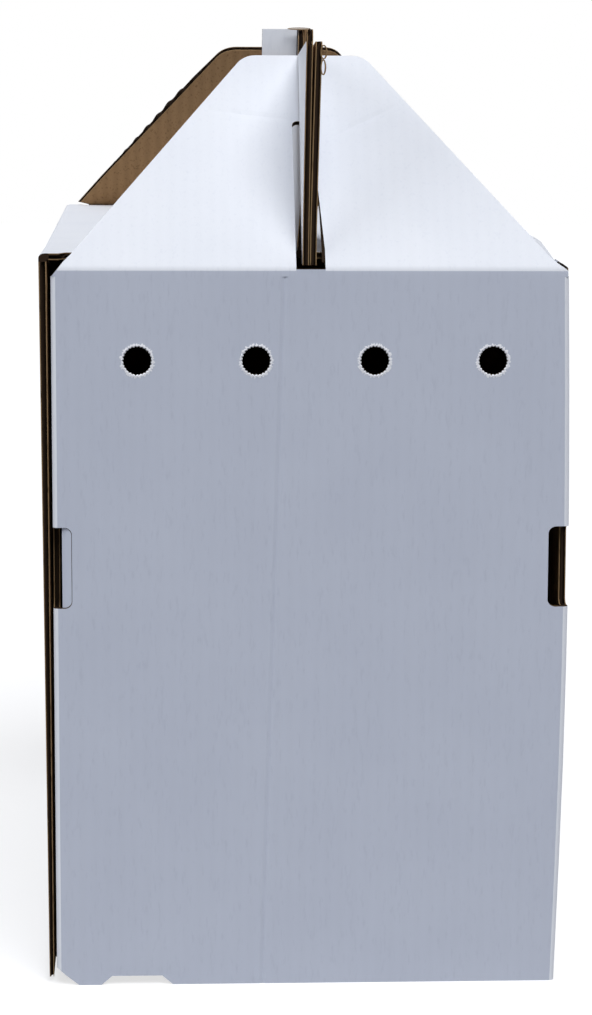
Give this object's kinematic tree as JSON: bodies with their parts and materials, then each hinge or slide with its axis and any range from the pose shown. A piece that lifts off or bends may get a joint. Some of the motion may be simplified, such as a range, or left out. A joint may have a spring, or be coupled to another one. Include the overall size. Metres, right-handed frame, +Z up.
{
  "type": "pet carrier",
  "caption": "Folded corrugated-board pet carrier with air holes, leaning end flaps that hook over a standing handle, and roof halves that open outwards.",
  "frame": {"origin": "centre of the bounding box's bottom, on the surface that the carrier stands on", "axes": "+Z up, -Y towards the pictured front end, +X towards the right side panel"},
  "size_m": [0.2854, 0.44, 0.529],
  "materials": {
    "board": "white liner outside, brown kraft liner inside, matt"
  },
  "bodies": {
    "carton": {"front_end_panel": "board", "rear_end_panel": "board", "left_side_panel": "board", "right_side_panel": "board", "corner_lap_flap": "board", "front_bottom_flap": "board", "rear_bottom_flap": "board", "left_bottom_flap": "board", "right_bottom_flap": "board"},
    "slot_flap": {"left_slot_flap": "board"},
    "left_roof": {"left_roof_panel": "board"},
    "right_roof": {"right_roof_panel": "board"},
    "left_handle": {"left_handle_panel": "board", "left_front_ear": "board", "left_rear_ear": "board"},
    "right_handle": {"right_handle_panel": "board", "right_front_ear": "board", "right_rear_ear": "board"},
    "front_flap": {"front_end_flap": "board"},
    "rear_flap": {"rear_end_flap": "board"},
    "lock_wing_body": {"lock_wing": "board"}
  },
  "joints": [
    {"name": "left_roof_fold", "type": "hinge", "parent": "carton", "child": "left_roof", "pos_m": [-0.14275, 0, 0.4095], "axis": [0, -1, 0], "range_deg": [0, 100], "deforming": ["left_front_ear", "left_rear_ear", "right_front_ear", "right_rear_ear"]},
    {"name": "right_roof_fold", "type": "hinge", "parent": "carton", "child": "right_roof", "pos_m": [0.14275, 0, 0.4095], "axis": [0, 1, 0], "range_deg": [0, 100]},
    {"name": "left_handle_fold", "type": "hinge", "parent": "left_roof", "child": "left_handle", "pos_m": [-0.0003, 0, 0.406], "axis": [0, 1, 0], "range_deg": [0, 50]},
    {"name": "right_handle_fold", "type": "hinge", "parent": "right_roof", "child": "right_handle", "pos_m": [0.0003, 0, 0.406], "axis": [0, -1, 0], "range_deg": [0, 50]},
    {"name": "front_flap_fold", "type": "hinge", "parent": "carton", "child": "front_flap", "pos_m": [0.00275, -0.22, 0.402], "axis": [1, 0, 0], "range_deg": [0, 200]},
    {"name": "rear_flap_fold", "type": "hinge", "parent": "carton", "child": "rear_flap", "pos_m": [0.00275, 0.22, 0.402], "axis": [-1, 0, 0], "range_deg": [0, 200]},
    {"name": "lock_wing_fold", "type": "hinge", "parent": "left_handle", "child": "lock_wing_body", "pos_m": [-0.0038, -0.11782, 0.51598], "axis": [0, 0, -1], "range_deg": [0, 90]},
    {"name": "slot_flap_push", "type": "hinge", "parent": "carton", "child": "slot_flap", "pos_m": [-0.12685, -0.2165, 0.238], "axis": [0, 0, -1], "range_deg": [0, 90]}
  ],
  "couplings": [
    {"joint": "right_roof_fold", "follows": "left_roof_fold", "ratio": 1},
    {"joint": "left_handle_fold", "follows": "left_roof_fold", "ratio": 0.5},
    {"joint": "right_handle_fold", "follows": "left_roof_fold", "ratio": 0.5},
    {"joint": "front_flap_fold", "follows": "left_roof_fold", "ratio": 2},
    {"joint": "rear_flap_fold", "follows": "left_roof_fold", "ratio": 2}
  ]
}
